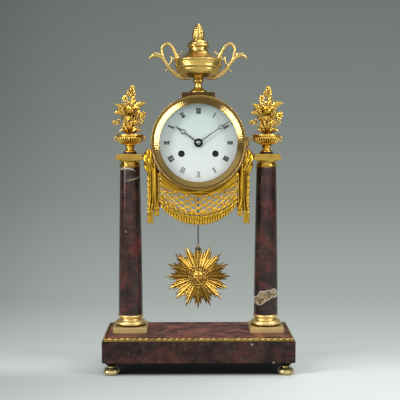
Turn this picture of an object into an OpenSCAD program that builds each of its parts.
// Portico mantel clock: a round drum clock carried between two marble columns on a marble plinth,
// with a gilt swag under the dial, an urn on top and a sunburst pendulum that swings between the columns.
// Millimetres. X is to the right, Y is away from the viewer, Z is up, and the feet stand on Z = 0.

/* [Plinth] */
// Width of the marble plinth
plinth_w = 280; // [260:1:320]
// Depth of the marble plinth
plinth_d = 127; // [115:1:150]
// Height of the marble plinth
plinth_h = 31.3; // [28:0.1:45]
// Height of a bun foot under the plinth
foot_h = 19.1; // [15:0.1:26]
// Greatest radius of a bun foot
foot_r = 12; // [9:0.1:14]
// Distance from the plinth's side to a foot's centre
foot_inset = 12.8; // [12.2:0.1:20]
// Thickness of the marble slab on the plinth
slab_t = 5; // [4:0.1:9]
// Distance from the plinth's edge to the gilt moulding
moulding_inset = 1.7; // [0.5:0.1:6]
// Width of the gilt moulding's flat strip
moulding_w = 4.5; // [3.6:0.1:8]
// Height of the gilt moulding's flat strip
moulding_h = 2.5; // [1.5:0.1:4]
// Thickness of the rope that runs on the moulding
rope_d = 3; // [2:0.1:4]

/* [Columns] */
// Distance between the two column axes
column_span = 203.2; // [200:0.2:212]
// Width of the square under a column's base
base_w = 50; // [47:0.5:56]
// Height of the square under a column's base
base_block_h = 8.3; // [5:0.1:12]
// Height of a whole column base
base_h = 24.6; // [23:0.1:30]
// Height of a marble shaft
shaft_h = 220.8; // [214:0.2:225]
// Radius of a shaft at its foot
shaft_r_low = 18; // [16:0.1:19]
// Radius of a shaft at its top
shaft_r_high = 14.8; // [13:0.1:16]
// Height of a whole capital
capital_h = 19.6; // [18.5:0.1:22]
// Width of a capital's square top
abacus_w = 40; // [37:0.5:42]
// Radius of the tie rod through a column
rod_r = 2; // [1.5:0.1:3]
// Clearance of a tie rod in its holes
rod_clear = 0.3; // [0.1:0.05:0.8]

/* [Vases] */
// Thickness of the dark marble disc under a vase
disc_t = 2.6; // [1.5:0.1:5]
// Radius of the dark marble disc
disc_r = 10; // [9:0.1:13]
// Height of a vase
vase_h = 26.3; // [24:0.1:32]
// Radius of a vase's rim
vase_r = 19.3; // [16:0.1:20]
// Height of a bouquet over its vase
bouquet_h = 73; // [60:0.5:85]

/* [Case and dial] */
// Height of the dial's centre over the table
dial_z = 337; // [332:0.5:342]
// Outer radius of the drum case
drum_r = 64; // [63:0.5:66]
// Wall of the drum case
drum_wall = 2; // [1.2:0.1:2.5]
// Length of the drum case from front to back
drum_len = 68; // [67:0.5:76]
// Y of the drum case's front edge
drum_front = -22; // [-26:0.5:-20]
// Thickness of the brass ring that holds the dial
dial_ring_t = 3; // [2.4:0.1:5]
// How far the enamel dial runs on behind the bezel
dial_lap = 2.2; // [1.5:0.1:3]
// Thickness of the enamel dial
dial_t = 1.6; // [1.4:0.1:2.4]
// Radius of the winding holes in the dial
winding_hole_r = 4.8; // [3.5:0.1:6]
// Outer radius of the bezel
bezel_r = 69.7; // [69:0.1:71]
// Depth of the bezel
bezel_depth = 12; // [11:0.1:15]
// Width of the bezel's front, from its edge to the sight opening
bezel_band = 12.9; // [12:0.1:14]
// Thickness of the glass
glass_t = 1.4; // [1:0.1:2]
// Gap between a closed door and what it closes on
door_gap = 0.3; // [0.2:0.05:0.5]

/* [Hands] */
// Gap between the minute hand's tip and the sight opening
hand_gap = 1; // [0.6:0.1:8]
// Length of the hour hand from its centre
hour_len = 41; // [34:0.5:46]
// Angle of the minute hand, clockwise from twelve
minute_angle = 55; // [0:1:359]
// Angle of the hour hand, clockwise from twelve
hour_angle = 306; // [0:1:359]
// Thickness of a hand
hand_t = 0.7; // [0.4:0.1:1]

/* [Movement] */
// Radius of the two movement plates
plate_r = 49; // [48:0.5:52]
// Thickness of a movement plate
plate_t = 2.2; // [1.6:0.1:3]
// Distance between the two movement plates
plate_gap = 25.8; // [25.6:0.1:28]
// Sideways distance of a winding arbor from the dial's centre
arbor_spread = 24.9; // [24.6:0.1:27]
// Distance of the winding arbors below the dial's centre
arbor_drop = 16; // [15:0.1:17]
// Radius of a winding arbor
arbor_r = 2.2; // [1.8:0.1:3]
// Radius of a spring barrel
barrel_r = 18.4; // [15:0.1:18.6]
// Running clearance of a shaft in its bearing
run_clear = 0.06; // [0.03:0.01:0.09]

/* [Pendulum] */
// Distance from the pendulum's pivot to the bob's centre
pendulum_len = 242; // [225:1:250]
// Height of the pendulum's pivot over the dial's centre
pivot_rise = 38; // [36:0.5:40]
// Radius of the pendulum rod
pendulum_rod_r = 0.8; // [0.6:0.1:1.2]
// Radius of the sunburst to the tips of its long rays
bob_r = 50; // [40:0.5:54]
// Number of long rays
long_rays = 16; // [12:2:24]
// Outer radius of the bell
bell_r = 36; // [34:0.5:42]

/* [Swag] */
// Half the width of the swag between its side falls
swag_half_w = 56; // [54:0.5:57]
// How far the fringe's end hangs below the dial's centre
swag_drop = 120.4; // [117:0.2:125]
// How far the net's lowest point hangs below the dial's centre
net_low_drop = 103.4; // [101:0.2:107]
// How far the net's upper edge hangs below the dial's centre, in the middle
net_high_drop = 77.1; // [76:0.1:80]
// Width of a mesh of the net
mesh_w = 17.4; // [14:0.2:20]
// Height of a mesh of the net
mesh_h = 8.6; // [8:0.1:10]
// Width of a strand of the net
strand_w = 3; // [2:0.1:3.4]
// Thickness of the swag
swag_t = 3; // [2:0.1:5]

/* [Urn] */
// Width of the dark saddle block under the urn
saddle_w = 48.5; // [40:0.5:56]
// Depth of the saddle block
saddle_d = 40; // [30:0.5:50]
// Height of the saddle block's top over the drum
saddle_rise = 9.8; // [6:0.1:14]
// Radius of the urn's bowl
urn_r = 36.2; // [34:0.2:38]
// Radius of the urn's neck
neck_r = 12.2; // [11.5:0.1:14]
// Wall of the urn
urn_wall = 2.4; // [1.8:0.1:3]
// Radius of the bolt that holds the urn
urn_bolt_r = 2; // [1.5:0.1:2.5]

/* [Hidden] */
$fn = 96;
fine = 0.01;

// Heights, from the table upwards
plinth_z = foot_h;
plinth_top = plinth_z + plinth_h;
slab_top = plinth_top + slab_t;
column_x = column_span / 2;
shaft_z = slab_top + base_h;
capital_z = shaft_z + shaft_h;
capital_top = capital_z + capital_h;
disc_top = capital_top + disc_t;
vase_top = disc_top + vase_h;
drum_top = dial_z + drum_r;
saddle_top = drum_top + saddle_rise;
pivot_z = dial_z + pivot_rise;
bob_z = pivot_z - pendulum_len;

// Moulding
frame_w = plinth_w - 2 * moulding_inset;
frame_d = plinth_d - 2 * moulding_inset;
slab_w = frame_w - 2 * moulding_w;
slab_d = frame_d - 2 * moulding_w;
nut_h = 4;
nut_r = 4.2;
counterbore_h = 9;

// Planes of the case, from the front backwards
drum_in_r = drum_r - drum_wall;
drum_back = drum_front + drum_len;
flange_t = 2;
flange_in_r = drum_in_r - 4.5;
sight_r = bezel_r - bezel_band;
dial_r = sight_r + dial_lap;
minute_len = sight_r - hand_gap;
ring_front = drum_front - dial_ring_t;
ring_r = bezel_r - 1.2;
ring_in_r = dial_r - 9;
dial_seat = dial_t - 0.2;
dial_back = ring_front + dial_seat;
dial_front = dial_back - dial_t;
bezel_back = ring_front - door_gap;
glass_seat = bezel_depth - 3.8;
glass_r = sight_r + 3.7;
hour_hand_back = dial_front - 1.3;
minute_hand_back = hour_hand_back - hand_t - 1.1;
hand_nut_t = 1.6;

// Planes of the movement
false_back = drum_front + flange_t + 1.6;
false_in_r = plate_r - 7;
front_plate_y = false_back + 4.4;
train_front = front_plate_y + plate_t;
train_back = train_front + plate_gap;
back_plate_y = train_back + plate_t;
pendulum_y = back_plate_y + 7.8;
bell_y = pendulum_y + 4.6;
bell_h = 13.4;
bell_wall = 1.8;

// Hinges
hinge_pin_r = 1;
knuckle_r = 1.9;
bezel_hinge_x = bezel_r + knuckle_r + 0.7;
bezel_hinge_y = bezel_back;
rear_door_t = 1.6;
rear_hinge_x = -(drum_r + knuckle_r + 0.4);
rear_hinge_y = drum_back + door_gap + rear_door_t / 2;
knuckle_half = 3.7;
lug_low = 4;
lug_high = 8;

// Gear train: centre distances, tooth counts and arbor places seen from the front
great_teeth = 72;
centre_pinion_teeth = 12;
centre_teeth = 80;
third_pinion_teeth = 8;
third_teeth = 72;
escape_pinion_teeth = 6;
escape_teeth = 30;
cannon_teeth = 12;
minute_wheel_teeth = 36;
minute_pinion_teeth = 10;
hour_wheel_teeth = 40;
great_distance = sqrt(pow(arbor_spread, 2) + pow(arbor_drop, 2));
great_module = 2 * great_distance / (great_teeth + centre_pinion_teeth);
centre_module = 0.4;
third_module = 0.38;
motion_distance = 15;
motion_angle = 120;
escape_rise = pivot_rise - 13;
escape_r = 9;
third_distance = centre_module * (centre_teeth + third_pinion_teeth) / 2;
escape_distance = third_module * (third_teeth + escape_pinion_teeth) / 2;
third_z = (pow(third_distance, 2) - pow(escape_distance, 2) + pow(escape_rise, 2)) / (2 * escape_rise);
third_x = sqrt(pow(third_distance, 2) - pow(third_z, 2));
going_angle = atan2(-arbor_drop, arbor_spread);
third_angle = atan2(third_z, third_x);
escape_angle = atan2(escape_rise - third_z, -third_x);
count_angle = 94;
count_x = -arbor_spread + great_distance * cos(count_angle);
count_z = -arbor_drop + great_distance * sin(count_angle);
count_r = 12;
hammer_x = -12;
hammer_z = -20;
pivot_r = 0.7;
pillar_r = 2.5;
pillar_ring = plate_r - 5;
pillar_angles = [35, 145, 255, 285];
false_pillar_angles = [60, 180, 300];
great_t = 1.6;
wheel_t = 1.2;
pinion_t = 2.2;
centre_arbor_r = 1.2;
cannon_r = 2;
hour_pipe_r = 3.2;

// Swag arcs through three points: half the chord, and how far the middle sags
function arc_r(half, sag) = (half * half + sag * sag) / (2 * sag);
net_top = dial_z - net_high_drop;
net_bottom = dial_z - net_low_drop;
swag_bottom = dial_z - swag_drop;
// How much higher each edge of the net is at its ends than in the middle
net_top_rise = 16;
net_bottom_rise = 23.4;
border_w = 6.6;
net_half = 54.6;
net_top_r = arc_r(net_half, net_top_rise);
net_bottom_r = arc_r(net_half, net_bottom_rise);
net_top_z = net_top + net_top_r;
net_bottom_z = net_bottom + net_bottom_r;
fringe_r = net_bottom_r + net_bottom - swag_bottom;
swag_y = drum_front + door_gap;
fall_front = ring_front + fine;

gilt = "#d9a531";
brass = "#b8914c";
marble = "#4a2622";
dark_marble = "#2c2220";
steel = "#5b6068";
blued = "#1b2233";
enamel = "#dde6e4";

// Puts a drawing's X and Y on the clock's X and Z, at Y = y, and extrudes towards the viewer
module facing(y, x = 0, z = 0) {
    translate([x, y, z])
        rotate([90, 0, 0])
            children();
}

// The same, measured from the dial's centre
module on_dial(y, x = 0, z = 0) {
    facing(y, x, dial_z + z)
        children();
}

module both_sides() {
    for (side = [-1, 1])
        translate([side * column_x, 0, 0])
            children();
}

// A ring or a bored disc with its axis along Z
module ring(outer, inner, h) {
    difference() {
        cylinder(r = outer, h = h);
        translate([0, 0, -1])
            cylinder(r = inner, h = h + 2);
    }
}

// Outline of a clock gear: each tooth is a trapezium, centred on angle 0 and its multiples
module gear_outline(teeth, mod, addendum, dedendum, tip, waist) {
    pitch_r = teeth * mod / 2;
    step = 360 / teeth;
    tip_r = pitch_r + addendum * mod;
    root_r = pitch_r - dedendum * mod;
    polygon([for (i = [0 : teeth - 1], p = [[root_r, -waist], [pitch_r, -waist], [tip_r, -tip],
            [tip_r, tip], [pitch_r, waist], [root_r, waist]])
        p[0] * [cos(step * (i + p[1])), sin(step * (i + p[1]))]]);
}

module wheel_outline(teeth, mod) {
    gear_outline(teeth, mod, 0.9, 1.2, 0.06, 0.2);
}

module pinion_outline(teeth, mod) {
    gear_outline(teeth, mod, 0.6, 1.25, 0.08, 0.17);
}

// A wheel with four spokes, crossed out between its hub and rim
module crossed_wheel(teeth, mod, t, hub_r, bore_r) {
    rim_r = teeth * mod / 2 - 1.2 * mod - 1.6;
    linear_extrude(t)
        difference() {
            wheel_outline(teeth, mod);
            difference() {
                circle(r = rim_r);
                circle(r = hub_r);
                for (a = [0, 90])
                    rotate(a)
                        square([2 * rim_r + 1, 1.8], center = true);
            }
            circle(r = bore_r);
        }
}

module plinth_block() {
    color(marble)
        difference() {
            translate([-plinth_w / 2, -plinth_d / 2, plinth_z])
                cube([plinth_w, plinth_d, plinth_h]);
            both_sides() {
                translate([0, 0, plinth_z - 1])
                    cylinder(r = rod_r + rod_clear, h = plinth_h + 2);
                translate([0, 0, plinth_z - 1])
                    cylinder(r = nut_r + 3, h = counterbore_h + 1);
            }
            foot_places()
                translate([0, 0, plinth_z - 1])
                    cylinder(r = foot_stud_r + run_clear, h = foot_stud_h + 1);
        }
}

foot_stud_r = 3;
foot_stud_h = 12;

module foot_places() {
    for (x = [-1, 1], y = [-1, 1])
        translate([x * (plinth_w / 2 - foot_inset), y * (plinth_d / 2 - foot_inset), 0])
            children();
}

module top_slab() {
    color(marble)
        difference() {
            translate([-slab_w / 2, -slab_d / 2, plinth_top])
                cube([slab_w, slab_d, slab_t]);
            both_sides()
                translate([0, 0, plinth_top - 1])
                    cylinder(r = rod_r + rod_clear, h = slab_t + 2);
        }
}

module rope_moulding() {
    rope_z = plinth_top + moulding_h + rope_d / 2 - 0.3;
    rope_x = frame_w / 2 - rope_d / 2 - 0.2;
    rope_y = frame_d / 2 - rope_d / 2 - 0.2;
    color(gilt)
        union() {
            difference() {
                translate([-frame_w / 2, -frame_d / 2, plinth_top])
                    cube([frame_w, frame_d, moulding_h]);
                translate([-slab_w / 2, -slab_d / 2, plinth_top - 1])
                    cube([slab_w, slab_d, moulding_h + 2]);
            }
            for (side = [-1, 1]) {
                translate([-rope_x, side * rope_y, rope_z])
                    rotate([0, 90, 0])
                        cylinder(r = rope_d / 2, h = 2 * rope_x);
                translate([side * rope_x, rope_y, rope_z])
                    rotate([90, 0, 0])
                        cylinder(r = rope_d / 2, h = 2 * rope_y);
                for (x = [-1, 1])
                    translate([x * rope_x, side * rope_y, rope_z])
                        sphere(r = rope_d / 2);
            }
        }
}

module feet() {
    k = foot_h / 19.1;
    color(gilt)
        foot_places() {
            rotate_extrude()
                polygon([[0, 0], [foot_r * 0.5, 0], [foot_r * 0.8, 1 * k], [foot_r * 0.96, 3 * k],
                    [foot_r, 5 * k], [foot_r * 0.94, 7.5 * k], [foot_r * 0.72, 9.8 * k],
                    [foot_r * 0.5, 10.8 * k], [foot_r * 0.46, 13 * k], [foot_r * 0.66, 15.4 * k],
                    [foot_r * 0.8, 16.2 * k], [foot_r * 0.8, foot_h], [0, foot_h]]);
            translate([0, 0, foot_h - 1])
                cylinder(r = foot_stud_r, h = foot_stud_h + 1);
        }
}

// Base mouldings: torus, hollow, fillet and a ring under the shaft
module column_base() {
    torus_r = 3.8;
    torus_z = base_block_h + torus_r;
    torus_out = base_w / 2 - 2.2;
    color(gilt)
        difference() {
            union() {
                translate([-base_w / 2, -base_w / 2, 0])
                    cube([base_w, base_w, base_block_h]);
                rotate_extrude() {
                    polygon([[0, base_block_h - 1], [torus_out - torus_r, base_block_h - 1],
                        [torus_out - torus_r, torus_z + torus_r], [shaft_r_low, torus_z + torus_r],
                        [shaft_r_low - 1.2, torus_z + torus_r + 1], [shaft_r_low - 1.8, torus_z + torus_r + 2.4],
                        [shaft_r_low - 1, torus_z + torus_r + 3.6], [shaft_r_low, base_h - 4],
                        [shaft_r_low + 0.3, base_h - 3.2], [shaft_r_low + 0.3, base_h], [0, base_h]]);
                    translate([torus_out - torus_r, torus_z])
                        circle(r = torus_r);
                    translate([shaft_r_low - 0.5, base_h - 1.6])
                        circle(r = 1.5);
                }
            }
            translate([0, 0, -1])
                cylinder(r = rod_r + rod_clear, h = base_h + 2);
        }
}

module column_base_left() {
    translate([-column_x, 0, slab_top])
        column_base();
}

module column_base_right() {
    translate([column_x, 0, slab_top])
        column_base();
}

// A shaft has a slight swelling between its foot and its top
module column_shaft() {
    color(marble)
        translate([0, 0, shaft_z])
            difference() {
                rotate_extrude()
                    polygon([[0, 0], for (i = [0 : 8]) [shaft_r_low
                        - (shaft_r_low - shaft_r_high) * pow(i / 8, 1.35), shaft_h * i / 8], [0, shaft_h]]);
                translate([0, 0, -1])
                    cylinder(r = rod_r + 1, h = shaft_h + 2);
            }
}

module column_shaft_left() {
    translate([-column_x, 0, 0])
        column_shaft();
}

module column_shaft_right() {
    translate([column_x, 0, 0])
        column_shaft();
}

bracket_h = 7;
bracket_d = 10;
bracket_z = capital_z + capital_h - 4.7;
bracket_screw_r = 1.5;

module capital(side) {
    neck = shaft_r_high;
    color(gilt)
        translate([side * column_x, 0, capital_z])
            difference() {
                union() {
                    rotate_extrude() {
                        polygon([[0, 0], [neck + 0.6, 0], [neck + 0.6, 0.8], [neck - 0.2, 1.2], [neck - 0.2, 3],
                            [neck - 0.6, 4.4], [neck - 0.6, 7.4], [neck + 0.6, 8.2], [abacus_w / 2 - 3.4, 9.6],
                            [abacus_w / 2 - 2.6, 11.2], [0, 11.2]]);
                        translate([neck - 0.2, 2.1])
                            circle(r = 1.1);
                    }
                    translate([-abacus_w / 2, -abacus_w / 2, 11])
                        cube([abacus_w, abacus_w, capital_h - 15.2]);
                    translate([-abacus_w / 2 + 1.5, -abacus_w / 2 + 1.5, capital_h - 4.4])
                        cube([abacus_w - 3, abacus_w - 3, 4.4]);
                }
                translate([0, 0, -1])
                    cylinder(r = rod_r + rod_clear, h = capital_h + 2);
                translate([-side * abacus_w / 2, 0, bracket_z - capital_z])
                    rotate([0, side * 90, 0])
                        translate([0, 0, -1])
                            cylinder(r = bracket_screw_r, h = 13);
            }
}

module capital_left() {
    capital(-1);
}

module capital_right() {
    capital(1);
}

rod_bottom = plinth_z + counterbore_h - nut_h - 2;
rod_top = disc_top + 9;

module tie_rods() {
    color(steel)
        both_sides()
            translate([0, 0, rod_bottom])
                cylinder(r = rod_r, h = rod_top - rod_bottom);
}

module tie_rod_nuts() {
    color(brass)
        both_sides()
            translate([0, 0, plinth_z + counterbore_h - nut_h])
                difference() {
                    cylinder(r = nut_r, h = nut_h, $fn = 6);
                    translate([0, 0, -1])
                        cylinder(r = rod_r, h = nut_h + 2);
                }
}

module vase_discs() {
    color(dark_marble)
        both_sides()
            translate([0, 0, capital_top])
                ring(disc_r, rod_r + rod_clear, disc_t);
}

vase_floor = vase_h * 0.494;

// A shallow vase on a foot, with a small ring handle at each side
module vase() {
    k = vase_h / 26.3;
    handle_r = 2.6;
    color(gilt)
        difference() {
            union() {
                rotate_extrude()
                    polygon([[0, 0], [8.6, 0], [8.6, 1.2 * k], [6.6, 2.4 * k], [5.5, 4 * k], [5.4, 6 * k],
                        [6.6, 7.2 * k], [7.2, 8.2 * k], [6.4, 9.2 * k], [6.2, 10 * k], [vase_r * 0.6, 11.6 * k],
                        [vase_r * 0.8, 14.4 * k], [vase_r * 0.88, 17.6 * k], [vase_r * 0.8, 19.8 * k],
                        [vase_r * 0.78, 21.4 * k], [vase_r * 0.84, 23 * k], [vase_r, 25 * k], [vase_r, vase_h],
                        [vase_r - 2, vase_h], [vase_r * 0.7, 21 * k], [vase_r * 0.74, 17 * k],
                        [vase_r * 0.5, vase_floor], [0, vase_floor]]);
                for (side = [-1, 1])
                    translate([side * (vase_r + 0.6), 0, 19 * k])
                        rotate([90, 0, 0])
                            rotate_extrude()
                                translate([handle_r, 0])
                                    circle(r = 1);
            }
            translate([0, 0, -1])
                cylinder(r = rod_r, h = rod_top - disc_top + 1);
        }
}

module vase_left() {
    translate([-column_x, 0, disc_top])
        vase();
}

module vase_right() {
    translate([column_x, 0, disc_top])
        vase();
}

// Leaves and flowers of a bouquet: [turn, lean, length, width]
leaves = [for (i = [0 : 9]) [36 * i, 26 + 16 * (i % 2), 42 - 9 * (i % 2), 7],
    for (i = [0 : 6]) [51 * i + 20, 13 + 4 * (i % 3), 58 + 4 * (i % 2), 7]];
leaf_grow = bouquet_h / 73;

module leaf(length, width) {
    hull() {
        cylinder(r = 0.9, h = 1, $fn = 6);
        translate([0, 0, length * 0.7])
            scale([1, 0.4, 1])
                sphere(r = width / 2, $fn = 8);
    }
    hull() {
        translate([0, 0, length * 0.7])
            scale([1, 0.4, 1])
                sphere(r = width / 2, $fn = 8);
        translate([0, 0, length])
            sphere(r = 0.7, $fn = 6);
    }
}

module bouquet() {
    stem_h = bouquet_h + vase_h - vase_floor;
    color(gilt) {
        hull() {
            cylinder(r = 8, h = 4, $fn = 16);
            translate([0, 0, 26 * leaf_grow])
                sphere(r = 10, $fn = 12);
        }
        hull() {
            translate([0, 0, 20 * leaf_grow])
                sphere(r = 6, $fn = 12);
            translate([0, 0, stem_h - 0.8])
                sphere(r = 0.8, $fn = 8);
        }
        for (l = leaves)
            rotate([0, 0, l[0]])
                translate([0, 0, 12])
                    rotate([0, l[1], 0])
                        leaf(l[2] * leaf_grow, l[3]);
    }
}

bouquet_z = disc_top + vase_floor;

module bouquet_left() {
    translate([-column_x, 0, bouquet_z])
        bouquet();
}

module bouquet_right() {
    translate([column_x, 0, bouquet_z])
        mirror([1, 0, 0])
            bouquet();
}

// Bars from the drum's sides to the capitals
module side_brackets() {
    color(steel)
        for (side = [-1, 1])
            difference() {
                translate([side > 0 ? 50 : -(column_x - abacus_w / 2), -bracket_d / 2, bracket_z - bracket_h / 2])
                    cube([column_x - abacus_w / 2 - 50, bracket_d, bracket_h]);
                on_dial(bracket_d)
                    cylinder(r = drum_r, h = 2 * bracket_d);
                bracket_screw_hole(side);
            }
}

module bracket_screw_hole(side) {
    translate([side * (screw_start - 2), 0, bracket_z])
        rotate([0, side * 90, 0])
            cylinder(r = bracket_screw_r, h = column_x - screw_start + 2 - abacus_w / 2 + 13);
}

screw_start = sqrt(pow(drum_in_r, 2) - pow(dial_z - bracket_z, 2)) - 1.4;

module bracket_screws() {
    color(steel)
        for (side = [-1, 1])
            translate([side * (screw_start - 2), 0, bracket_z])
                rotate([0, side * 90, 0]) {
                    cylinder(r = 3, h = 2);
                    cylinder(r = bracket_screw_r, h = column_x - abacus_w / 2 + 11 - screw_start);
                }
}

swag_screw_angles = [-55, -125];
swag_screw_y = false_back + 2.4;
swag_screw_r = 1;

module drum_case() {
    color(brass)
        difference() {
            union() {
                on_dial(drum_back)
                    ring(drum_r, drum_in_r, drum_len);
                on_dial(drum_front + flange_t)
                    ring(drum_r - 0.5, flange_in_r, flange_t);
                for (side = [-1, 1])
                    translate([0, 0, dial_z + side * (lug_low + lug_high) / 2])
                        rear_lug();
            }
            for (side = [-1, 1]) {
                bracket_screw_hole(side);
                translate([side * (screw_start - 10), 0, bracket_z])
                    rotate([0, side * 90, 0])
                        cylinder(r = 3.2, h = 10);
            }
            for (a = swag_screw_angles)
                swag_screw_axis(a)
                    cylinder(r = swag_screw_r, h = 20);
            translate([0, 0, dial_z])
                cylinder(r = urn_bolt_r, h = drum_r + 5);
            translate([-10, pendulum_y - 3.5, dial_z - drum_r - 5])
                cube([20, 7, 20]);
            hinge_axis(rear_hinge_x, rear_hinge_y)
                cylinder(r = hinge_pin_r, h = 30, center = true);
        }
}

module hinge_axis(x, y) {
    translate([x, y, dial_z])
        children();
}

module rear_lug() {
    lug_t = lug_high - lug_low;
    translate([rear_hinge_x, rear_hinge_y, -lug_t / 2])
        cylinder(r = knuckle_r, h = lug_t);
    translate([rear_hinge_x - knuckle_r, drum_back - 6, -lug_t / 2])
        cube([2 * knuckle_r + 1.4, 6, lug_t]);
}

// A radial direction from the drum's axis, in the swag screws' plane
module swag_screw_axis(a) {
    translate([0, swag_screw_y, dial_z])
        rotate([0, 90 - a, 0])
            translate([0, 0, drum_in_r - 8])
                children();
}

module swag_screws() {
    color(steel)
        for (a = swag_screw_angles)
            translate([0, swag_screw_y, dial_z])
                rotate([0, 90 - a, 0]) {
                    translate([0, 0, drum_in_r - 1.6])
                        cylinder(r = 1.5, h = 1.4);
                    translate([0, 0, drum_in_r - 0.6])
                        cylinder(r = swag_screw_r, h = drum_wall + 4);
                }
}

module dial_ring() {
    lug_t = lug_high - lug_low;
    color(brass)
        difference() {
            union() {
                on_dial(drum_front)
                    ring(ring_r, ring_in_r, dial_ring_t);
                for (side = [-1, 1])
                    translate([0, 0, dial_z + side * (lug_low + lug_high) / 2 - lug_t / 2]) {
                        translate([bezel_hinge_x, bezel_hinge_y, 0])
                            cylinder(r = knuckle_r, h = lug_t);
                        translate([ring_r - 2, ring_front, 0])
                            cube([bezel_hinge_x - ring_r + 2 + knuckle_r, dial_ring_t, lug_t]);
                    }
            }
            on_dial(dial_back)
                cylinder(r = dial_r + 0.2, h = dial_t + 3);
            dial_feet(1.1, 12);
            hinge_axis(bezel_hinge_x, bezel_hinge_y)
                cylinder(r = hinge_pin_r, h = 30, center = true);
        }
}

// Three feet behind the dial
module dial_feet(r, h) {
    for (a = [90, 210, 330])
        on_dial(dial_back + h, (ring_in_r + 3) * cos(a), (ring_in_r + 3) * sin(a))
            cylinder(r = r, h = h);
}

module false_plate() {
    color(brass)
        union() {
            on_dial(false_back)
                ring(drum_in_r - 0.3, false_in_r, false_back - drum_front - flange_t);
            for (a = false_pillar_angles)
                on_dial(front_plate_y, pillar_ring * cos(a), pillar_ring * sin(a))
                    cylinder(r = pillar_r, h = front_plate_y - false_back + 0.5);
        }
}

module enamel_dial() {
    color(enamel)
        difference() {
            union() {
                on_dial(dial_back)
                    rotate_extrude()
                        polygon([[0, 0], [dial_r, 0], [dial_r, dial_t - 0.5], [dial_r - 0.5, dial_t - 0.1],
                            [dial_r - 1.6, dial_t], [0, dial_t]]);
                dial_feet(1, dial_seat + 1);
            }
            on_dial(dial_back + 1)
                cylinder(r = hour_pipe_r + 1.1, h = 5);
            for (side = [-1, 1])
                on_dial(dial_back + 1, side * arbor_spread, -arbor_drop)
                    cylinder(r = winding_hole_r, h = 5);
        }
}

// The bezel's section: a bead at the edge, a groove, and a milled band that rises to the sight opening
module bezel() {
    bead_h = bezel_depth - 3.4;
    groove_h = bead_h - 1.5;
    color(brass)
        difference() {
            union() {
                on_dial(bezel_back)
                    rotate_extrude() {
                        polygon([[glass_r + 0.3, 0], [bezel_r - 0.4, 0], [bezel_r, 0.4],
                            [bezel_r, bead_h], [bezel_r - 2.6, bead_h], [bezel_r - 2.9, groove_h],
                            [bezel_r - 3.6, groove_h], [sight_r + 1, bezel_depth - 0.3],
                            [sight_r + 0.4, bezel_depth], [sight_r, bezel_depth - 0.4],
                            [sight_r, glass_seat], [glass_r + 0.3, glass_seat]]);
                        translate([bezel_r - 1.3, bead_h])
                            circle(r = 1.3);
                    }
                hinge_axis(bezel_hinge_x, bezel_hinge_y) {
                    translate([0, 0, -knuckle_half])
                        cylinder(r = knuckle_r, h = 2 * knuckle_half);
                    translate([bezel_r - 2 - bezel_hinge_x, -3, -knuckle_half])
                        cube([bezel_hinge_x - bezel_r + 2, 2.7, 2 * knuckle_half]);
                }
            }
            hinge_axis(bezel_hinge_x, bezel_hinge_y)
                cylinder(r = hinge_pin_r + run_clear, h = 30, center = true);
        }
}

module bezel_glass() {
    color([0.85, 0.92, 0.92, 0.3])
        on_dial(bezel_back - glass_seat + glass_t)
            cylinder(r = glass_r, h = glass_t);
}

module glass_retainer() {
    color(brass)
        on_dial(bezel_back - glass_seat + glass_t + 1.2)
            ring(glass_r + 0.3, sight_r + 2, 1.2);
}

module hinge_pins() {
    color(steel) {
        hinge_axis(bezel_hinge_x, bezel_hinge_y)
            cylinder(r = hinge_pin_r, h = 2 * lug_high + 0.6, center = true);
        hinge_axis(rear_hinge_x, rear_hinge_y)
            cylinder(r = hinge_pin_r, h = 2 * lug_high + 0.6, center = true);
    }
}

module rear_door() {
    color(brass)
        difference() {
            union() {
                on_dial(drum_back + door_gap + rear_door_t)
                    cylinder(r = drum_r - 0.4, h = rear_door_t);
                on_dial(drum_back + door_gap + rear_door_t + 5, drum_r - 7)
                    rotate_extrude()
                        polygon([[0, 0], [2.6, 0.4], [3.2, 1.6], [2.6, 2.8], [1.4, 3.6], [1.4, 5.5], [0, 5.5]]);
                hinge_axis(rear_hinge_x, rear_hinge_y) {
                    translate([0, 0, -knuckle_half])
                        cylinder(r = knuckle_r, h = 2 * knuckle_half);
                    translate([0, -rear_door_t / 2, -knuckle_half])
                        cube([8, rear_door_t, 2 * knuckle_half]);
                }
            }
            hinge_axis(rear_hinge_x, rear_hinge_y)
                cylinder(r = hinge_pin_r + run_clear, h = 30, center = true);
        }
}

// The swag's outline: gathered cloth over a net, a rope border and a fringe, between its two falls
module swag_outline() {
    intersection() {
        union() {
            difference() {
                translate([0, net_bottom_z])
                    circle(r = fringe_r);
                translate([-fringe_r, net_bottom_z])
                    square(2 * fringe_r);
            }
            translate([-swag_half_w, net_bottom_z - 60])
                square([2 * swag_half_w, 80]);
        }
        translate([-swag_half_w, swag_bottom - 5])
            square([2 * swag_half_w, dial_z - swag_bottom]);
    }
}

module mesh_hole(x, z) {
    translate([x, z])
        polygon([[-mesh_w / 2 + strand_w, 0], [0, -mesh_h / 2 + strand_w * 0.7],
            [mesh_w / 2 - strand_w, 0], [0, mesh_h / 2 - strand_w * 0.7]]);
}

// Height of the net's lower edge at x
function net_edge(x) = net_bottom_z - sqrt(pow(net_bottom_r, 2) - pow(x, 2));

// A mesh hole stays whole, so it is left out where it would cut into a border
function in_net(x, z) = norm([x, z - net_top_z]) > net_top_r + 2.4
    && norm([x, z - net_bottom_z]) < net_bottom_r - 2.4 && abs(x) < net_half - mesh_w / 2 + strand_w;

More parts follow.
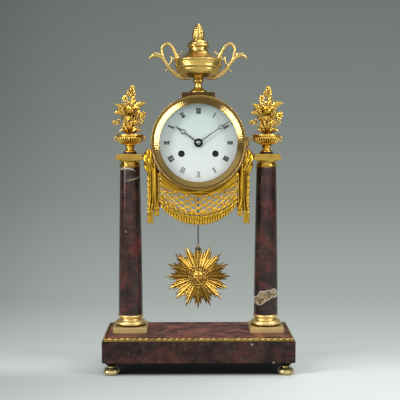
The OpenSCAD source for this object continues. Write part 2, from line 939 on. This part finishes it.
module swag() {
    color(gilt)
        difference() {
            union() {
                facing(swag_y + swag_t)
                    linear_extrude(swag_t)
                        difference() {
                            swag_outline();
                            for (i = [-3 : 3], j = [0 : 8])
                                let (x = mesh_w * (i + (j % 2) / 2), z = net_edge(x) + 3 + j * mesh_h / 2)
                                    if (in_net(x, z))
                                        mesh_hole(x, z);
                        }
                facing(swag_screw_y + 2)
                    linear_extrude(swag_screw_y + 2 - swag_y)
                        intersection() {
                            difference() {
                                translate([0, dial_z])
                                    circle(r = drum_r + 5);
                                translate([0, dial_z])
                                    circle(r = drum_r - 3);
                            }
                            translate([-swag_half_w + 2, dial_z - drum_r - 10])
                                square([2 * swag_half_w - 4, 30]);
                        }
            }
            on_dial(0)
                translate([0, 0, -10])
                    cylinder(r = drum_r + run_clear, h = 60);
            for (a = swag_screw_angles)
                swag_screw_axis(a)
                    cylinder(r = swag_screw_r, h = 20);
        }
}

// A side fall: a knot beside the dial, and two tails of folded cloth below it
module swag_fall() {
    knot_top = dial_z - 10;
    tail_bottom = swag_bottom + 2.4;
    color(gilt)
        facing(fall_front + 7.5)
            linear_extrude(7.5)
                difference() {
                    polygon([[62, knot_top - 2], [66, knot_top], [76, knot_top - 0.5], [79.5, knot_top - 7],
                        [79.2, knot_top - 19], [77, knot_top - 30], [76.2, knot_top - 39],
                        [75.2, knot_top - 65], [74.2, tail_bottom + 13], [75, tail_bottom + 5],
                        [74.6, tail_bottom], [66.2, tail_bottom], [65.6, tail_bottom + 9],
                        [66.3, tail_bottom + 21], [64.6, tail_bottom + 31], [63.6, tail_bottom + 21],
                        [63.2, tail_bottom + 10.8], [57.6, tail_bottom + 10.8], [57.8, tail_bottom + 21],
                        [57.2, tail_bottom + 33], [swag_half_w, tail_bottom + 43], [swag_half_w, knot_top - 20]]);
                    translate([0, dial_z])
                        circle(r = max(ring_r, drum_r) + 0.4);
                }
}

module swag_fall_left() {
    mirror([1, 0, 0])
        swag_fall();
}

module swag_fall_right() {
    swag_fall();
}

module saddle_block() {
    color(dark_marble)
        difference() {
            translate([-saddle_w / 2, -saddle_d / 2, drum_top - 8])
                cube([saddle_w, saddle_d, saddle_rise + 8]);
            on_dial(saddle_d)
                cylinder(r = drum_r, h = 2 * saddle_d);
            translate([0, 0, dial_z])
                cylinder(r = urn_bolt_r + rod_clear, h = 200);
        }
}

// Heights over the saddle block
urn_bowl_z = 20.4;
urn_wide_z = 41.6;
urn_rim_z = 48.2;
urn_shoulder_z = 53;
urn_neck_z = 66.5;
urn_bolt_h = 26;

urn_profile = [[13.2, 0], [13.2, 1.8], [12.2, 2.4], [11.4, 4.4], [8.4, 6], [6.4, 8.6], [5.4, 12], [5.5, 14.8],
    [7.4, 16], [8.7, 17.6], [7.4, 19.2], [6.8, urn_bowl_z], [16, urn_bowl_z + 2.2],
    [urn_r * 0.72, urn_bowl_z + 6.8], [urn_r * 0.9, urn_bowl_z + 12.6], [urn_r - 0.8, urn_wide_z - 5],
    [urn_r, urn_wide_z], [urn_r - 0.8, urn_wide_z + 3.6], [urn_r, urn_rim_z - 1], [urn_r - 0.6, urn_rim_z],
    [urn_r - 5, urn_rim_z + 0.6], [24, urn_rim_z + 2.2], [19.6, urn_shoulder_z], [15.4, urn_shoulder_z + 3.6],
    [13, urn_shoulder_z + 7.4], [neck_r, urn_neck_z]];

module urn_body() {
    w = urn_wall;
    color(gilt)
        translate([0, 0, saddle_top])
            difference() {
                rotate_extrude()
                    polygon(concat([[0, 0]], urn_profile, [[neck_r - w, urn_neck_z],
                        [13 - w, urn_shoulder_z + 6], [19.6 - w, urn_shoulder_z - w], [urn_r - w - 4, urn_rim_z - w],
                        [urn_r - w, urn_wide_z], [urn_r * 0.9 - w, urn_bowl_z + 13.4], [16, urn_bowl_z + 2.2 + w],
                        [0, urn_bowl_z + 2 + w]]));
                translate([0, 0, -1])
                    cylinder(r = urn_bolt_r, h = 60);
            }
}

// The lid plugs into the urn's neck and carries the pine cone
module urn_lid() {
    color(gilt)
        translate([0, 0, saddle_top + urn_neck_z])
            rotate_extrude()
                polygon([[0, -4], [neck_r - urn_wall - 0.3, -4], [neck_r - urn_wall - 0.3, 0], [17.2, 0],
                    [17.6, 1.2], [16.4, 2.8], [14.4, 4], [14, 6.2], [11.4, 8.6], [8.2, 10.4], [7, 11.3],
                    [8.2, 14], [8.8, 18], [8.6, 22], [7.2, 27], [4.6, 31.6], [1.4, 35.2], [0, 35.9]]);
}

// A handle is a stem that sweeps up from under the bowl to an eagle's head, and a loop back to the rim.
// Points are [x, z over the saddle block, radius].
stem_points = [[10, 19.6, 1.4], [21.6, 20.4, 1.9], [30, 23.7, 2.2], [37.3, 29.8, 2.3], [44, 37.8, 2.3],
    [49, 45.3, 2.2], [53.4, 50.4, 2.1], [58, 53.8, 2.3], [63, 55.6, 2.8], [67.6, 55, 2.4], [71.6, 51, 1.2]];
loop_points = [[49.4, 45, 1.7], [52.6, 54, 1.7], [53.8, 62.5, 1.7], [50.4, 70.4, 1.8], [45.8, 72, 1.8],
    [40.6, 69.6, 1.8], [36, 62.5, 2.1], [32.2, 55, 2.6], [30, 50.6, 2.8]];

module tube_through(points) {
    for (i = [0 : len(points) - 2])
        hull()
            for (p = [points[i], points[i + 1]])
                translate([p[0], 0, saddle_top + p[1]])
                    sphere(r = p[2], $fn = 10);
}

module urn_handles() {
    color(gilt)
        difference() {
            for (side = [0, 1])
                mirror([side, 0, 0]) {
                    tube_through(stem_points);
                    tube_through(loop_points);
                }
            translate([0, 0, saddle_top])
                rotate_extrude()
                    polygon(concat([[0, 0]], urn_profile, [[0, urn_neck_z]]));
        }
}

module urn_bolt() {
    bolt_low = drum_in_r - 3.4;
    color(steel) {
        translate([0, 0, dial_z + bolt_low])
            cylinder(r = urn_bolt_r, h = drum_r + saddle_rise + urn_bolt_h - bolt_low);
        translate([0, 0, dial_z + bolt_low - 1])
            cylinder(r = 4, h = 3, $fn = 6);
    }
}

module plate_outline(y, h) {
    on_dial(y)
        cylinder(r = plate_r, h = h);
}

// A bearing hole right through a plate
module bearing(x, z, r) {
    on_dial(60, x, z)
        cylinder(r = r, h = 120);
}

module train_bearings() {
    for (side = [-1, 1])
        bearing(side * arbor_spread, -arbor_drop, arbor_r + run_clear);
    bearing(third_x, third_z, pivot_r + run_clear);
    bearing(0, escape_rise, pivot_r + run_clear);
    bearing(0, pivot_rise, pivot_r + run_clear);
    bearing(count_x, count_z, pivot_r + run_clear);
}

motion_x = motion_distance * cos(motion_angle);
motion_z = motion_distance * sin(motion_angle);

module front_plate() {
    color(brass)
        union() {
            difference() {
                plate_outline(train_front, plate_t);
                train_bearings();
                bearing(0, 0, centre_arbor_r + run_clear);
            }
            on_dial(front_plate_y, motion_x, motion_z)
                cylinder(r = pivot_r, h = 5.4);
        }
}

module back_plate() {
    color(brass)
        union() {
            difference() {
                plate_outline(back_plate_y, plate_t);
                train_bearings();
                bearing(0, 0, centre_arbor_r + run_clear);
            }
            on_dial(hammer_y + 1.6, hammer_x, hammer_z)
                cylinder(r = pivot_r, h = hammer_y + 1.6 - back_plate_y);
        }
}

module plate_pillars() {
    color(brass)
        for (a = pillar_angles)
            on_dial(train_back, pillar_ring * cos(a), pillar_ring * sin(a))
                cylinder(r = pillar_r, h = plate_gap);
}

// A spring barrel: a hollow drum with its great wheel at one end. The ribbon spring fills most of it.
module barrel(x, wheel_front, turn) {
    drum_low = train_front + 2.6;
    drum_high = train_back - 9;
    color(brass)
        difference() {
            union() {
                on_dial(drum_high, x, -arbor_drop)
                    cylinder(r = barrel_r, h = drum_high - drum_low);
                on_dial(wheel_front + great_t, x, -arbor_drop)
                    linear_extrude(great_t)
                        rotate(turn)
                            wheel_outline(great_teeth, great_module);
            }
            on_dial(60, x, -arbor_drop)
                cylinder(r = arbor_r + run_clear, h = 120);
        }
}

going_wheel_front = train_front + 1;
strike_wheel_front = train_back - 9;

module going_barrel() {
    barrel(arbor_spread, going_wheel_front, going_angle + 180 + 180 / great_teeth);
}

module strike_barrel() {
    barrel(-arbor_spread, strike_wheel_front, count_angle);
}

// A winding arbor with its square for the key and its ratchet wheel
module winding_arbor(x) {
    square_w = 3.6;
    ratchet_back = front_plate_y - 0.5;
    color(steel)
        union() {
            on_dial(back_plate_y + 0.8, x, -arbor_drop)
                cylinder(r = arbor_r, h = back_plate_y + 0.8 - front_plate_y + 2.5);
            on_dial(front_plate_y - 2, x, -arbor_drop)
                translate([-square_w / 2, -square_w / 2, 0])
                    cube([square_w, square_w, front_plate_y - 2 - dial_front - 0.8]);
            on_dial(ratchet_back, x, -arbor_drop)
                linear_extrude(1.5)
                    polygon([for (i = [0 : 19], p = [[5.8, 0], [7, 16]])
                        p[0] * [cos(18 * i + p[1]), sin(18 * i + p[1])]]);
        }
}

module going_winding_arbor() {
    winding_arbor(arbor_spread);
}

module strike_winding_arbor() {
    winding_arbor(-arbor_spread);
}

centre_wheel_y = train_back - 4.8;
third_wheel_y = train_front + 11;
escape_wheel_y = third_wheel_y + 4;
motion_wheel_y = front_plate_y - 1.1;
hour_wheel_y = motion_wheel_y - 2.1;

module centre_arbor() {
    color(steel)
        union() {
            on_dial(back_plate_y, 0, 0)
                cylinder(r = centre_arbor_r, h = back_plate_y - minute_hand_back + hand_t);
            on_dial(going_wheel_front + great_t + 0.2)
                linear_extrude(great_t + 0.4)
                    rotate(going_angle)
                        pinion_outline(centre_pinion_teeth, great_module);
            on_dial(centre_wheel_y)
                rotate([0, 0, third_angle])
                    crossed_wheel(centre_teeth, centre_module, wheel_t, 3, 0.5);
        }
}

module cannon_pinion() {
    color(steel)
        on_dial(motion_wheel_y + 0.1)
            difference() {
                union() {
                    cylinder(r = cannon_r, h = motion_wheel_y + 0.1 - minute_hand_back + hand_t);
                    linear_extrude(1.4)
                        rotate(motion_angle)
                            pinion_outline(cannon_teeth, motion_module_a);
                }
                translate([0, 0, -1])
                    cylinder(r = centre_arbor_r, h = 40);
            }
}

motion_module_a = 2 * motion_distance / (cannon_teeth + minute_wheel_teeth);
motion_module_b = 2 * motion_distance / (minute_pinion_teeth + hour_wheel_teeth);

module minute_wheel() {
    color(brass)
        difference() {
            union() {
                on_dial(motion_wheel_y, motion_x, motion_z)
                    rotate([0, 0, motion_angle + 180 + 180 / minute_wheel_teeth])
                        crossed_wheel(minute_wheel_teeth, motion_module_a, wheel_t, 4, 0.5);
                on_dial(motion_wheel_y, motion_x, motion_z)
                    linear_extrude(3.4)
                        rotate(motion_angle + 180)
                            pinion_outline(minute_pinion_teeth, motion_module_b);
            }
            bearing(motion_x, motion_z, pivot_r + run_clear);
        }
}

module hour_wheel() {
    color(brass)
        difference() {
            union() {
                on_dial(hour_wheel_y)
                    rotate([0, 0, motion_angle + 180 / hour_wheel_teeth])
                        crossed_wheel(hour_wheel_teeth, motion_module_b, wheel_t, 4.4, 0.5);
                on_dial(hour_wheel_y)
                    cylinder(r = hour_pipe_r, h = hour_wheel_y - hour_hand_back + hand_t);
            }
            bearing(0, 0, cannon_r + run_clear);
        }
}

// A hand with a pierced ring near its tip. It points up before it is turned to its angle.
module pierced_hand(length, ring_at, ring_r, boss_r, bore_r, width) {
    difference() {
        union() {
            circle(r = boss_r);
            polygon([[-width / 2, 0], [width / 2, 0], [width * 0.35, ring_at - ring_r + 0.4],
                [-width * 0.35, ring_at - ring_r + 0.4]]);
            translate([0, ring_at])
                circle(r = ring_r);
            polygon([[-width * 0.7, ring_at + ring_r - 0.3], [width * 0.7, ring_at + ring_r - 0.3],
                [width * 0.15, length], [-width * 0.15, length]]);
        }
        translate([0, ring_at + 0.2])
            circle(r = ring_r - 0.8);
        circle(r = bore_r);
    }
}

module hour_hand() {
    color(blued)
        on_dial(hour_hand_back)
            linear_extrude(hand_t)
                rotate(-hour_angle)
                    pierced_hand(hour_len, hour_len * 0.68, 3.6, 6.4, hour_pipe_r, 1.9);
}

module minute_hand() {
    color(blued)
        on_dial(minute_hand_back)
            linear_extrude(hand_t)
                rotate(-minute_angle)
                    pierced_hand(minute_len, minute_len * 0.71, 2.9, 4.6, cannon_r, 1.4);
}

module hand_nut() {
    color(steel)
        on_dial(minute_hand_back - hand_t)
            rotate_extrude()
                polygon([[0, 0], [2.9, 0], [2.9, hand_nut_t * 0.6], [1.8, hand_nut_t], [0, hand_nut_t]]);
}

module pivoted_arbor(x, z) {
    on_dial(back_plate_y, x, z)
        cylinder(r = pivot_r, h = back_plate_y - front_plate_y);
}

module third_wheel() {
    color(brass)
        union() {
            pivoted_arbor(third_x, third_z);
            on_dial(centre_wheel_y + 0.5, third_x, third_z)
                linear_extrude(pinion_t)
                    rotate(third_angle + 180 + 180 / third_pinion_teeth)
                        pinion_outline(third_pinion_teeth, centre_module);
            on_dial(third_wheel_y, third_x, third_z)
                rotate([0, 0, escape_angle])
                    crossed_wheel(third_teeth, third_module, wheel_t, 3, 0.5);
        }
}

module escape_wheel() {
    color(brass)
        union() {
            pivoted_arbor(0, escape_rise);
            on_dial(third_wheel_y + 0.5, 0, escape_rise)
                linear_extrude(pinion_t)
                    rotate(escape_angle + 180 + 180 / escape_pinion_teeth)
                        pinion_outline(escape_pinion_teeth, third_module);
            on_dial(escape_wheel_y, 0, escape_rise)
                linear_extrude(1)
                    polygon([for (i = [0 : escape_teeth - 1], p = [[escape_r - 1.6, 0], [escape_r, 9]])
                        p[0] * [cos(12 * i + p[1]), sin(12 * i + p[1])]]);
        }
}

// The anchor spans the escape wheel, and its arbor carries the crutch behind the back plate
crutch_drop = 30;
crutch_y = pendulum_y - 2.4;

module anchor_crutch() {
    pallet_r = escape_r + 1;
    color(steel)
        union() {
            on_dial(crutch_y, 0, pivot_rise)
                cylinder(r = pivot_r, h = crutch_y - front_plate_y);
            on_dial(escape_wheel_y + 0.3, 0, pivot_rise)
                cylinder(r = 2.4, h = 1.6);
            on_dial(escape_wheel_y + 0.3, 0, escape_rise)
                rotate([0, 0, 45])
                    rotate_extrude(angle = 90)
                        translate([pallet_r, 0])
                            square([2, 1.6]);
            on_dial(crutch_y, 0, pivot_rise)
                cylinder(r = 2.6, h = 1.2);
            on_dial(crutch_y, 0, pivot_rise)
                translate([-1.2, -crutch_drop, 0])
                    cube([2.4, crutch_drop, 1.2]);
            for (side = [-1, 1])
                translate([side * (pendulum_rod_r + 0.9) - 0.6, crutch_y - 0.6, pivot_z - crutch_drop])
                    cube([1.2, pendulum_y - crutch_y + 3, 2.4]);
            translate([-pendulum_rod_r - 1.5, crutch_y - 1.2, pivot_z - crutch_drop])
                cube([2 * pendulum_rod_r + 3, 1.2, 2.4]);
        }
}

module count_wheel() {
    color(brass)
        union() {
            on_dial(back_plate_y + 2.6, count_x, count_z)
                cylinder(r = pivot_r, h = back_plate_y + 2.6 - front_plate_y);
            on_dial(strike_wheel_front + great_t + 0.2, count_x, count_z)
                linear_extrude(great_t + 0.4)
                    rotate(count_angle + 180 + 180 / centre_pinion_teeth)
                        pinion_outline(centre_pinion_teeth, great_module);
            on_dial(back_plate_y + 2.4, count_x, count_z)
                linear_extrude(1.4)
                    difference() {
                        circle(r = count_r);
                        for (i = [0 : 11])
                            rotate(30 * i + i * i / 4)
                                translate([count_r - 1.6, -0.6])
                                    square([3, 1.2]);
                    }
        }
}

silk_r = 0.35;

// The cock stands on the back plate and holds the loop that the pendulum hangs in
module suspension_cock() {
    cock_low = pivot_rise + 5;
    color(brass)
        union() {
            translate([-4, back_plate_y, dial_z + cock_low])
                cube([8, pendulum_y + 2.4 - back_plate_y, 3.4]);
            for (x = [-1.3, 1.3])
                translate([x, pendulum_y, pivot_z])
                    cylinder(r = silk_r, h = 5.5);
            translate([-1.3, pendulum_y, pivot_z])
                rotate([0, 90, 0])
                    cylinder(r = silk_r, h = 2.6);
            for (x = [-1.3, 1.3])
                translate([x, pendulum_y, pivot_z])
                    sphere(r = silk_r);
        }
}

bob_socket_h = 12;
bob_socket_z = bob_r - 8;

module pendulum_rod() {
    eye_r = 1.7;
    eye_wire = 0.4;
    eye_z = pivot_z + silk_r + 0.1 + eye_wire - eye_r;
    rod_low = bob_z + bob_socket_z + bob_socket_h - 5;
    color(steel)
        union() {
            translate([0, pendulum_y, eye_z])
                rotate([0, 90, 0])
                    rotate_extrude()
                        translate([eye_r, 0])
                            circle(r = eye_wire);
            translate([0, pendulum_y, rod_low])
                cylinder(r = pendulum_rod_r, h = eye_z - eye_r - rod_low);
        }
}

// The sunburst: long rays with short ones between them, ridged down the middle, round a domed mask
rays = 2 * long_rays;
ray_step = 360 / rays;
valley_r = bob_r * 0.56;
short_r = bob_r * 0.76;
bob_dome_r = 14;
bob_front = pendulum_y - 6;
bob_back = pendulum_y + 1.4;

function ray_r(i) = i % 2 == 0 ? bob_r : short_r;
function polar(r, a) = [r * sin(a), r * cos(a)];

module star_outline() {
    polygon([for (i = [0 : rays - 1], p = [[ray_r(i), 0], [valley_r, 0.5]])
        polar(p[0], ray_step * (i + p[1]))]);
}

module sunburst_bob() {
    edge_t = 1.1;
    color(gilt)
        difference() {
            union() {
                facing(bob_back, 0, bob_z)
                    linear_extrude(edge_t)
                        star_outline();
                facing(bob_back - edge_t, 0, bob_z)
                    linear_extrude(bob_back - edge_t - bob_front, scale = 0.04)
                        star_outline();
                facing(pendulum_y, 0, bob_z)
                    rotate_extrude()
                        polygon([[0, 0], [bob_dome_r, 0], [bob_dome_r, 6], [bob_dome_r * 0.86, 8.4],
                            [bob_dome_r * 0.5, 10.4], [0, 11.2]]);
                translate([0, pendulum_y, bob_z + bob_socket_z])
                    cylinder(r = 2.2, h = bob_socket_h);
            }
            translate([0, pendulum_y, bob_z + bob_socket_z + bob_socket_h - 5])
                cylinder(r = pendulum_rod_r, h = 20);
        }
}

// The bell and its stand: a post on the back plate, an arm behind the pendulum and a stud through the bell
bell_post_x = 28;
bell_arm_y = bell_y + 2.6;

module bell() {
    r = bell_r;
    w = bell_wall;
    color(brass)
        union() {
            on_dial(bell_y)
                rotate([180, 0, 0])
                    rotate_extrude()
                        polygon([[r - w, 0], [r, 0], [r - 1.6, 6], [r - 6, 10], [r - 14, 12.4], [r - 22, bell_h],
                            [0, bell_h], [0, bell_h - w], [r - 22.4, bell_h - w], [r - 14.6, 12.4 - w],
                            [r - 7.2, 10 - w], [r - 1.6 - w, 5.4]]);
            on_dial(bell_arm_y + 3, bell_post_x)
                cylinder(r = 1.8, h = bell_arm_y + 3 - back_plate_y);
            translate([0, bell_arm_y, dial_z - 1.8])
                cube([bell_post_x, 3, 3.6]);
            on_dial(bell_y + bell_h + 2.2)
                cylinder(r = 1.8, h = bell_y + bell_h + 2.2 - bell_arm_y);
            on_dial(bell_y + bell_h + 2)
                cylinder(r = 4, h = 2.4, $fn = 6);
        }
}

hammer_y = bell_y - 1.4;
hammer_head_r = 2.6;
hammer_head_h = 5.4;
hammer_gap = 2;
hammer_bearing = 205;
head_orbit = bell_r - bell_wall - hammer_head_r - hammer_gap;
head_x = head_orbit * cos(hammer_bearing);
head_z = head_orbit * sin(hammer_bearing);
hammer_len = norm([head_x - hammer_x, head_z - hammer_z]);
hammer_lean = atan2(head_z - hammer_z, head_x - hammer_x);

module bell_hammer() {
    color(steel)
        difference() {
            union() {
                on_dial(hammer_y + 1.6, hammer_x, hammer_z)
                    cylinder(r = 2.6, h = hammer_y + 1.6 - back_plate_y - 0.5);
                on_dial(hammer_y + 1.6, hammer_x, hammer_z)
                    rotate([0, 0, hammer_lean])
                        translate([0, -1.1, 0])
                            cube([hammer_len, 2.2, 1.6]);
                on_dial(hammer_y + hammer_head_h, head_x, head_z)
                    cylinder(r = hammer_head_r, h = hammer_head_h);
            }
            bearing(hammer_x, hammer_z, pivot_r + run_clear);
        }
}

plinth_block();
top_slab();
rope_moulding();
feet();
column_base_left();
column_base_right();
column_shaft_left();
column_shaft_right();
capital_left();
capital_right();
tie_rods();
tie_rod_nuts();
vase_discs();
vase_left();
vase_right();
bouquet_left();
bouquet_right();
side_brackets();
bracket_screws();
drum_case();
dial_ring();
false_plate();
enamel_dial();
bezel();
bezel_glass();
glass_retainer();
hinge_pins();
rear_door();
swag();
swag_fall_left();
swag_fall_right();
swag_screws();
saddle_block();
urn_body();
urn_lid();
urn_handles();
urn_bolt();
front_plate();
back_plate();
plate_pillars();
going_barrel();
strike_barrel();
going_winding_arbor();
strike_winding_arbor();
centre_arbor();
cannon_pinion();
minute_wheel();
hour_wheel();
hour_hand();
minute_hand();
hand_nut();
third_wheel();
escape_wheel();
anchor_crutch();
count_wheel();
suspension_cock();
pendulum_rod();
sunburst_bob();
bell();
bell_hammer();
